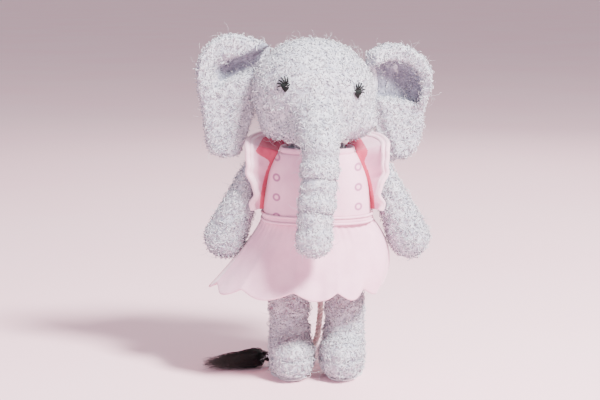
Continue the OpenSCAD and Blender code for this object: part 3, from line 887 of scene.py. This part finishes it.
class ELEPHANT_OT_head(bpy.types.Operator):
    """Sew the head with the root of the trunk, and grow its curls round the eyes"""

    bl_idname = "elephant.head"
    bl_label = "Head"

    def execute(self, context):
        skin = plush_form(
            "head_plush", ["head_shell", "head_stuffing"], voxel=2.4, rounds=12, inset=1.6, fills=HEAD_FILLS
        )
        as_piece(skin, "head", [curly_plush()], ["head_shell"])

        def clear_of_eyes(place, way):
            near = min((place.xz - Vector(spot)).length for spot in EYES.values())
            return ease(3.4, 5.2, near) if place.y < 0 else 1

        grow_pile(
            skin, "face_pile", "head", curly_pile(),
            lambda place, way: clear_of_eyes(place, way) * (place.y < 2), 31, scale=0.92,
        )
        grow_pile(
            skin, "crown_pile", "head", curly_pile(),
            lambda place, way: float(place.y >= 2) * ease(-0.99, -0.9, way.z), 32,
        )
        return {"FINISHED"}


class ELEPHANT_OT_eyes(bpy.types.Operator):
    """Stitch the closed eyes in satin stitch, with a fan of lashes"""

    bl_idname = "elephant.eyes"
    bl_label = "Eyes"

    def execute(self, context):
        face = bpy.data.objects["head_plush"].data
        tree = BVHTree.FromPolygons([v.co for v in face.vertices], [p.vertices for p in face.polygons])
        for side, sign in SIDES.items():
            across, up = EYES[side]
            place, way, _, _ = tree.ray_cast(Vector((across, -200, up)) * MM, Vector((0, 1, 0)))
            place = place / MM + way * 1.1
            out = Vector((sign, 0, 0))
            out = (out - way * out.dot(way)).normalized()
            up = Vector((0, 0, 1))
            up = (up - way * up.dot(way)).normalized()
            lines = []
            for index in range(-5, 6):
                across = index * 0.58
                half = 2.9 * math.sqrt(max(0.05, 1 - (across / 3.3) ** 2))
                foot = -half - max(0, 0.9 - 0.3 * abs(index))
                lines.append([
                    place + out * across * (0.7 + 0.3 * t) + up * (foot + (half - foot) * t)
                    + way * 0.8 * math.sin(math.pi * t)
                    for t in (0, 0.15, 0.35, 0.6, 0.85, 1)
                ])
            for angle, length in LASHES:
                lean = math.radians(angle)
                base = place + (out * math.sin(lean) + up * math.cos(lean)) * 2.4
                line = []
                for index in range(6):
                    t = index / 5
                    bent = lean + 0.35 * t
                    reached = (out * math.sin(bent) + up * math.cos(bent)) * length * t
                    line.append(base + reached + way * (0.5 + 0.5 * math.sin(math.pi * t)))
                lines.append(line)
            eye = thread_piece(f"eye_{side}_stitches", lines, 0.55, 2, lambda t: 1 - 0.25 * t ** 2)
            as_piece(eye, "head", [embroidery_thread()], [f"eye_{side}"])
        return {"FINISHED"}


# centre: an ear's broad end across and up, and how its middle line leans on the way down
# line: a point of the fold under its hollow, and the fold's slope
# deep: the hollow's height above the fold; hollow: the circle that closes the hollow's outer end
# wider: growth towards the head above and below the middle; outer: the tip's growth outward
# drop: how far the tip hangs down; drawn: share by which the ear is drawn in towards its root
EARS = {
    "left": {
        "centre": (55.4, 212.4, -0.055), "line": (43.0, 205.5, -0.195), "deep": 30.0,
        "hollow": (56.0, 211.0, 21.5), "wider": (2.0, 7.0), "outer": 6.0, "drop": 3.5, "drawn": 0,
    },
    "right": {
        "centre": (-62.8, 217.9, 0.26), "line": (-67.0, 217.0, 0.54), "deep": 11.0,
        "hollow": (-50.0, 226.0, 24.0), "wider": (9.0, 11.0), "outer": -1.5, "drop": 7.5, "drawn": 0.085,
    },
}
EAR_ROOT = 41


def ear_above(side, place):
    """How far a point of an ear lies above its fold line."""
    x, z, slope = EARS[side]["line"]
    return place.z - z - slope * (place.x - x)


def ear_hollow(side, place):
    """How much a point of an ear lies in its hollow, from 0 to 1."""
    above = ear_above(side, place)
    x, z, reach = EARS[side]["hollow"]
    inside = ease(reach, reach - 3, math.hypot(place.x - x, place.z - z))
    return inside * ease(-0.4, 1.0, above) * ease(EARS[side]["deep"] + 3, EARS[side]["deep"], above)


def ear_shape(side):
    """Roll an ear's upper rim forward, sink its hollow, and widen and puff up its lower half."""

    ear = EARS[side]
    x, z, slope = ear["centre"]

    def shape(place, way):
        above = ear_above(side, place)
        reach = math.hypot(place.x - x, place.z - z)
        inward = SIDES[side] * (x + slope * (place.z - z) - place.x)
        half = EAR_HALF - EAR_NARROWING * min(1, max(0, (z - place.z) / EAR_LENGTH))
        front = ease(0.1, 0.6, -way.y)
        upper = ease(-4, 4, above) * ease(22, 10, inward)
        rim = 5.0 * ease(10, 20, reach) * upper
        swollen = 2.6 * ease(14, 20, reach) * upper * (1 - ear_hollow(side, place)) * front
        sunk = 4.5 * ear_hollow(side, place) * front
        puffed = 5.5 * ease(1.0, -2.0, above) * math.sqrt(max(0, 1 - (inward / half) ** 2)) * front
        top, bottom = ear["wider"]
        wider = (top + (bottom - top) * ease(z + 10, z - 14, place.z)) * ease(-6, 12, inward)
        wider -= ear["outer"] * ease(4, -10, inward) * ease(z - 6, z - 36, place.z)
        drawn = ear["drawn"] * (SIDES[side] * EAR_ROOT - place.x)
        drop = ear["drop"] * ease(z - 8, z - 46, place.z)
        return Vector((drawn - SIDES[side] * wider, sunk - rim - swollen - puffed, -drop))

    return shape


class ELEPHANT_OT_ears(bpy.types.Operator):
    """Sew the ears: a rolled upper rim, a lined hollow and a puffed lower half"""

    bl_idname = "elephant.ears"
    bl_label = "Ears"

    def execute(self, context):
        for number, side in enumerate(SIDES):
            nodes = [f"ear_{side}_back", f"ear_{side}_padding", f"ear_{side}_lining"]
            skin = plush_form(
                f"ear_{side}_plush", nodes, voxel=1.5, rounds=4, inset=0.8, shape=ear_shape(side)
            )
            as_piece(skin, f"ear_{side}", [curly_plush(), short_plush()], nodes)

            def lined(place, way, side=side):
                return ear_hollow(side, place) * ease(-0.1, 0.2, -way.y)

            # The hollow takes the darker lining plush, whose colour is partly painted shade of the hollow
            for face in skin.data.polygons:
                face.material_index = int(lined(face.center / MM, face.normal) > 0.5)
            grow_pile(
                skin, f"ear_{side}_pile", f"ear_{side}", curly_pile(),
                lambda place, way: 1 - ease(0.2, 0.6, lined(place, way)), 41 + number, scale=0.92,
            )
            grow_pile(
                skin, f"ear_{side}_nap", f"ear_{side}", lining_pile(),
                lambda place, way: ease(0.3, 0.7, lined(place, way)), 43 + number,
                gap=0.8, scale=0.45, wisps=0,
            )
        return {"FINISHED"}


class ELEPHANT_OT_trunk(bpy.types.Operator):
    """Sew the trunk's three stuffed segments, folded between them, and its cap"""

    bl_idname = "elephant.trunk"
    bl_label = "Trunk"

    def execute(self, context):
        for number, part in enumerate(["upper", "middle", "tip"]):
            nodes = [f"trunk_{part}_shell", f"trunk_{part}_stuffing"]
            hidden = [f"trunk_{part}_shell"]
            if part == "tip":
                nodes.append("trunk_cap")
                hidden.append("trunk_cap")
            fold, round_off = TRUNK_FOLDS[part]
            skin = plush_form(
                f"trunk_{part}_plush", nodes, voxel=1.6, rounds=4, inset=0.9,
                shape=lambda place, way: -way * 0.9 * bell(place.z, TRUNK_CAP_SEAM, 1.2),
                fills=[(fold, (round_off,) * 3)],
            )
            as_piece(skin, f"trunk_{part}", [curly_plush()], hidden)
            grow_pile(
                skin, f"trunk_{part}_pile", f"trunk_{part}", curly_pile(),
                lambda place, way: (
                    ease(fold.z + 6, fold.z + 4, place.z) * (abs(place.z - TRUNK_CAP_SEAM) > 0.7)
                ),
                51 + number, scale=0.85,
            )
        return {"FINISHED"}


class ELEPHANT_OT_arms(bpy.types.Operator):
    """Sew the stuffed arms"""

    bl_idname = "elephant.arms"
    bl_label = "Arms"

    def execute(self, context):
        for number, (side, sign) in enumerate(SIDES.items()):
            nodes = [f"arm_{side}_shell", f"arm_{side}_stuffing"]

            def creased(place, way, sign=sign):
                # A pinch across the front of the palm
                across = sign * place.x - 67
                run = place.z - 101 - 0.6 * (across - 1)
                return -way * 1.6 * bell(run, 0, 1.6) * ease(-4, -12, place.y) * ease(9, 5, abs(across))

            skin = plush_form(f"arm_{side}_plush", nodes, voxel=1.9, rounds=5, inset=1.7, shape=creased)
            as_piece(skin, f"arm_{side}", [curly_plush()], nodes[:1])
            grow_pile(
                skin, f"arm_{side}_pile", f"arm_{side}", curly_pile(), lambda place, way: 1.0, 61 + number
            )
        return {"FINISHED"}


class ELEPHANT_OT_legs(bpy.types.Operator):
    """Sew the legs, the round feet with their toe crease, and the soles"""

    bl_idname = "elephant.legs"
    bl_label = "Legs"

    def execute(self, context):
        for number, (side, sign) in enumerate(SIDES.items()):
            body = f"leg_{side}"
            hidden = [f"leg_{side}_shell", f"foot_{side}_shell"]

            def footed(place, way):
                crease = 1.8 * bell(place.z, TOE_CREASE, 1.7) * ease(0, -10, place.y)
                puffed = 1.2 * bell(place.z, 24, 8) + 1.6 * bell(place.z, 28, 7) * ease(-2, -16, place.y)
                ankle = 1.7 * bell(place.z, ANKLE, 4)
                return way * (puffed - crease - ankle) * ease(0.3, -0.2, -way.z)

            skin = plush_form(
                f"leg_{side}_plush", [*hidden, f"leg_{side}_stuffing", f"pellet_bag_{side}"], voxel=2.0,
                rounds=5, inset=1.9, shape=footed, fills=[((sign * 19.5, -1.5, ANKLE - 2), ANKLE_FILL_RADII)],
            )
            as_piece(skin, body, [curly_plush()], hidden)
            grow_pile(
                skin, f"leg_{side}_pile", body, curly_pile(),
                lambda place, way: ease(-0.97, -0.85, way.z) * ease(ANKLE, ANKLE - 2, place.z), 71 + number,
            )
            grow_pile(
                skin, f"shin_{side}_pile", body, curly_pile(),
                lambda place, way: ease(84, 80, place.z) * ease(ANKLE - 2, ANKLE, place.z), 73 + number,
            )

            bm = bmesh.new()
            bm.from_mesh(frame["nodes"][f"sole_{side}"].data)
            bmesh.ops.remove_doubles(bm, verts=bm.verts, dist=1e-5)
            bmesh.ops.dissolve_limit(bm, angle_limit=math.radians(3), verts=bm.verts, edges=bm.edges)
            middle = sum((Vector(c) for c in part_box(f"sole_{side}")), Vector()) / 2
            bmesh.ops.scale(bm, verts=bm.verts, vec=(0.86, 0.86, 1), space=Matrix.Translation(-middle))
            rim = [e for e in bm.edges if e.is_manifold and e.calc_face_angle() > math.radians(60)]
            bmesh.ops.bevel(
                bm, geom=rim, offset=0.6 * MM, offset_type="OFFSET", affect="EDGES",
                segments=3, profile=0.5, material=-1,
            )
            sole = from_bmesh(f"sole_{side}_plush", bm)
            as_piece(sole, body, [sole_plush()], [f"sole_{side}"])
        return {"FINISHED"}


# Dress


def torso_side(z, add):
    """Half-width of the torso at a height, grown by add."""
    if z < BELLY_Z:
        return (TORSO_HALF + add) * math.sqrt(max(0, 1 - ((BELLY_Z - z) / (BELLY_H + add)) ** 2))
    return TORSO_HALF + add - (TORSO_HALF - NECK_HALF) * ((z - BELLY_Z) / (NECK_Z - BELLY_Z)) ** 3


def cloth_sheet(name, columns, rows, place, thick, looped=False):
    """A sheet of cloth: a grid whose shares across and down are put in place, thickened inward."""
    bm = bmesh.new()
    bmesh.ops.create_grid(bm, x_segments=columns, y_segments=rows, size=0.5)
    for vert in bm.verts:
        vert.co = Vector(place(vert.co.x + 0.5, 0.5 - vert.co.y)) * MM
    if looped:
        bmesh.ops.remove_doubles(bm, verts=bm.verts, dist=1e-5)
    bmesh.ops.recalc_face_normals(bm, faces=bm.faces)
    bm.faces.ensure_lookup_table()
    middle = bm.faces[len(bm.faces) // 2 + columns // 2]
    outward = middle.calc_center_median()
    if middle.normal.dot(Vector((outward.x, outward.y, 0))) < 0:
        bmesh.ops.reverse_faces(bm, faces=bm.faces)
    obj = from_bmesh(name, bm)
    add_modifier(
        obj, "SOLIDIFY", thickness=thick, offset=-1, use_even_offset=True,
        material_offset=1, material_offset_rim=2,
    )
    add_modifier(obj, "SUBSURF", levels=1, render_levels=1)
    settle(obj)
    return obj


def squarer(angle):
    """How much further out than an ellipse the bodice stands at an angle."""
    return 1 + SQUARENESS * math.sin(2 * angle) ** 2


class ELEPHANT_OT_bodice(bpy.types.Operator):
    """Fit the printed bodice, its neck binding and the waistband"""

    bl_idname = "elephant.bodice"
    bl_label = "Bodice"

    def execute(self, context):
        dress = context.scene.dress
        for node, (start, stop, flat) in BODICE_PANELS.items():

            def place(across, down, start=start, stop=stop):
                angle = math.radians(start + (stop - start) * across)
                z = BODICE_TOP + 0.4 + (WAIST_Z - 0.6 - BODICE_TOP) * down
                tucks = 0.45 * math.sin(34 * angle + 2 * math.sin(3 * angle)) * math.exp(-(z - WAIST_Z) / 5)
                soft = 0.7 * noise.noise(Vector((math.cos(angle) * 3, math.sin(angle) * 3, z / 16)))
                half = torso_side(z, 3.4 + tucks + soft) * squarer(angle)
                return half * math.cos(angle), half * TORSO_FLAT * math.sin(angle), z

            columns = 48 if node == "bodice_front" else 24
            panel = cloth_sheet(f"{node}_cloth", columns, 20, place, dress.cloth * 0.85)
            as_piece(panel, "torso", [printed_velour(), coral_lining(), pale_trim()], [node])

        for node, (low, high, piped) in BANDS.items():
            bm = bmesh.new()
            middle = (low + high) / 2
            rings = [(torso_side(middle, 2.2), middle, 2.0 if piped else 1.5, (high - low) / 2)]
            if piped:
                rings += [(torso_side(z, 4.3), z, 1.0, 0.9) for z in (low + 0.3, high - 0.3)]
            for out, z, deep, tall in rings:
                made = bmesh.ops.create_circle(bm, cap_ends=True, segments=16, radius=1)["verts"]
                bmesh.ops.scale(bm, verts=made, vec=(deep * MM, tall * MM, 1))
                bmesh.ops.rotate(bm, verts=made, matrix=Matrix.Rotation(math.pi / 2, 3, "X"))
                bmesh.ops.translate(bm, verts=made, vec=(out * MM, 0, z * MM))
                bmesh.ops.rotate(bm, verts=made, matrix=Matrix.Rotation(math.radians(90.3), 3, "Z"))
                face = next(f for f in bm.faces if set(f.verts) == set(made))
                bmesh.ops.spin(
                    bm, geom=[face], cent=(0, 0, 0), axis=(0, 0, 1), dvec=(0, 0, 0),
                    angle=math.radians(359.4), steps=120, use_merge=False, use_duplicate=False,
                )
            for vert in bm.verts:
                square = squarer(math.atan2(vert.co.y, vert.co.x))
                vert.co = Vector((vert.co.x * square, vert.co.y * square * TORSO_FLAT, vert.co.z))
            bmesh.ops.recalc_face_normals(bm, faces=bm.faces)
            as_piece(from_bmesh(f"{node}_cloth", bm), "torso", [pink_velour()], [node])
        return {"FINISHED"}


def skirt_point(angle, share, inset):
    """A point of the gathered skirt, in millimetres."""
    front = angle + math.pi / 2
    spread = share ** 1.4
    flute = 1 + 0.022 * share * math.cos(SCALLOPS * front)
    low = HEM_Z + SCALLOP_H * (1 - abs(math.cos(SCALLOPS / 2 * front)))
    gathers = 0.7 * math.exp(-6 * share) * math.sin(44 * angle + 2.5 * math.sin(5 * angle))
    folds = 3.2 * math.sin(math.pi * min(1, share * 0.8)) * noise.noise(
        Vector((math.cos(angle) * 2.4, math.sin(angle) * 2.4, share * 0.9 + 4)))
    # The skirt was pulled to one side: that side flares, and the other puffs out and turns in again
    flared = WAIST_HALF + 37.5 * share ** 1.25
    puffed = WAIST_HALF + 46 * share * (1 - 0.85 * share)
    half = flared + (puffed - flared) * ease(-0.8, 0.8, math.cos(angle))
    wide = half * flute - inset + gathers + folds
    waist_deep = WAIST_HALF * TORSO_FLAT
    deep = (waist_deep + (HEM_DEPTH - waist_deep) * spread) * flute - inset + gathers + folds
    # A soft fold down the front
    tuck = 3 * bell(math.sin(front), 0.02, 0.09) * ease(0.4, 0.85, share) * (math.cos(front) > 0)
    return wide * math.cos(angle), (deep - tuck) * math.sin(angle), SKIRT_Z + (low - SKIRT_Z) * share


class ELEPHANT_OT_skirt(bpy.types.Operator):
    """Gather the scalloped skirt onto the waistband, and line it"""

    bl_idname = "elephant.skirt"
    bl_label = "Skirt"

    def execute(self, context):
        dress = context.scene.dress
        outer = cloth_sheet(
            "skirt_cloth", 192, 26, lambda across, down: skirt_point(math.tau * across, down, 0),
            dress.cloth, looped=True,
        )
        as_piece(outer, "torso", [pink_velour(), coral_lining(), pale_trim()], ["skirt_outer"])
        # Coral piping down the flared side's seam
        for face in outer.data.polygons:
            spot = face.center / MM
            if spot.x < 0 and abs(spot.y + 0.5) < min(3, (98 - spot.z) * 0.14):
                face.material_index = 1
        facing = cloth_sheet(
            "skirt_facing", 144, 16, lambda across, down: skirt_point(math.tau * across, down * 0.985, 2.3),
            0.9 * MM, looped=True,
        )
        as_piece(facing, "torso", [coral_lining()] * 3, ["skirt_lining"])
        return {"FINISHED"}


def ruffle_point(sign, down, out, width):
    """A point of a sleeve's ruffle, in millimetres."""
    over = max(0, 0.35 - down) / 0.35
    down = max(0, down - 0.35) / 0.65
    z = BODICE_TOP - 0.5 + (WAIST_Z + 3 - BODICE_TOP) * down + 2.5 * over
    turn = math.radians(5 + 5 * down - 44 * over)
    base = torso_side(z, 3.4) + 0.3
    lift = math.radians(16 * (1 - down) + 30 * over)
    reach = width * (1 - 0.62 * down) * (1 - 0.45 * over)
    heading = math.radians(24 + 30 * ease(0, 0.45, down) - 50 * over)
    wave = 3 * math.sin(math.tau * (1.7 * down - 0.6 * over) + 0.6) + 0.6 * math.sin(math.tau * 4.3 * down)
    spot = Vector((base * math.cos(turn), -base * TORSO_FLAT * math.sin(turn), z))
    level = Vector((math.cos(heading), -math.sin(heading), 0))
    spot += (level * math.cos(lift) + Vector((0, 0, math.sin(lift)))) * reach * out
    spot += Vector((level.y, -level.x, 0)) * wave * out
    return Vector((spot.x * sign, spot.y, spot.z))


class ELEPHANT_OT_sleeves(bpy.types.Operator):
    """Ruffle the flutter sleeves down both armholes, with a rolled double hem"""

    bl_idname = "elephant.sleeves"
    bl_label = "Sleeves"

    def execute(self, context):
        dress = context.scene.dress
        width = dress.ruffle / MM
        for side, sign in SIDES.items():
            sleeve = cloth_sheet(
                f"sleeve_{side}_cloth", 120, 20,
                lambda across, down: ruffle_point(sign, across, down, width), dress.cloth,
            )
            as_piece(
                sleeve, "torso", [pink_velour(), coral_lining()], [f"flutter_sleeve_{side}"]
            )
            for face in sleeve.data.polygons:
                spot = face.center / MM
                inner = face.normal.dot(Vector((-sign * 0.6, -0.8, 0))) > 0
                seam = torso_side(spot.z, 3.4) + 2.5 + (11 - 4 * sign) * ease(158, 169, spot.z)
                face.material_index = int(inner and abs(spot.x) < seam)
            lines = [
                [ruffle_point(sign, i / 90, out, width) + Vector((0, lift, 0)) for i in range(91)]
                for out, lift in ((0.88, -0.9), (1.03, 0.5))
            ]
            hem = thread_piece(f"sleeve_{side}_hem", lines, 1.9, 3)
            as_piece(hem, "torso", [pale_trim()], ())
        return {"FINISHED"}


class ELEPHANT_OT_insides(bpy.types.Operator):
    """Finish the pieces that stay hidden: filling, pellets, tapes and the tail's anchor"""

    bl_idname = "elephant.insides"
    bl_label = "Insides"

    def execute(self, context):
        for name, node in frame["nodes"].items():
            if name.endswith("_stuffing") or name.endswith("_padding"):
                finish = polyester_filling()
            elif name.startswith("pellet_bag"):
                finish = plastic_pellets()
            elif name.endswith("_tape"):
                finish = hook_and_loop()
            elif name == "tail_anchor":
                finish = curly_plush()
            else:
                continue
            node.data.materials.clear()
            node.data.materials.append(finish)
        return {"FINISHED"}


class ELEPHANT_OT_stage(bpy.types.Operator):
    """Lay the pale floor and hang the studio lights"""

    bl_idname = "elephant.stage"
    bl_label = "Stage"

    def execute(self, context):
        stage = context.scene.stage
        bm = bmesh.new()
        bmesh.ops.create_grid(bm, x_segments=8, y_segments=8, size=FLOOR_HALF)
        floor = from_bmesh("floor", bm)
        floor.data.materials.append(floor_paper())
        world = bpy.data.worlds.new("studio")
        world.use_nodes = True
        sky = world.node_tree.nodes["Background"].inputs
        sky["Color"].default_value = stage.sky[:]
        sky["Strength"].default_value = WORLD_STRENGTH
        context.scene.world = world
        for name, (place, size, power, code) in LAMPS.items():
            light = bpy.data.lights.new(name, "AREA")
            light.size = size
            light.energy = power
            light.color = linear(code)[:3]
            lamp = bpy.data.objects.new(name, light)
            lamp.location = place
            lamp.rotation_euler = (Vector(place) - LAMPS_AIM).to_track_quat("Z", "Y").to_euler()
            context.scene.collection.objects.link(lamp)
        return {"FINISHED"}


class ELEPHANT_PT_panel(bpy.types.Panel):
    """Lists the elephant's pieces and settings"""

    bl_label = "Plush elephant"
    bl_space_type = "VIEW_3D"
    bl_region_type = "UI"
    bl_category = "Elephant"

    def draw(self, context):
        for group in GROUPS:
            box = self.layout.box()
            settings = getattr(context.scene, group)
            for name in settings.__annotations__:
                box.prop(settings, name)
        for step in STEPS:
            self.layout.operator(step.bl_idname)


GROUPS = {"plush": PlushSettings, "dress": DressSettings, "tail": TailSettings, "stage": StageSettings}
STEPS = [
    ELEPHANT_OT_camera, ELEPHANT_OT_tail, ELEPHANT_OT_torso, ELEPHANT_OT_head, ELEPHANT_OT_eyes,
    ELEPHANT_OT_ears, ELEPHANT_OT_trunk, ELEPHANT_OT_arms, ELEPHANT_OT_legs, ELEPHANT_OT_bodice,
    ELEPHANT_OT_skirt, ELEPHANT_OT_sleeves, ELEPHANT_OT_insides, ELEPHANT_OT_stage,
]


def register():
    for cls in (*GROUPS.values(), *STEPS, ELEPHANT_PT_panel):
        bpy.utils.register_class(cls)
    for name, cls in GROUPS.items():
        setattr(bpy.types.Scene, name, bpy.props.PointerProperty(type=cls))


def unregister():
    for name in GROUPS:
        delattr(bpy.types.Scene, name)
    for cls in reversed((*GROUPS.values(), *STEPS, ELEPHANT_PT_panel)):
        bpy.utils.unregister_class(cls)


def main():
    """Make every piece in order."""
    register()
    for step in STEPS:
        group, name = step.bl_idname.split(".")
        getattr(getattr(bpy.ops, group), name)()


if __name__ == "__main__":
    main()
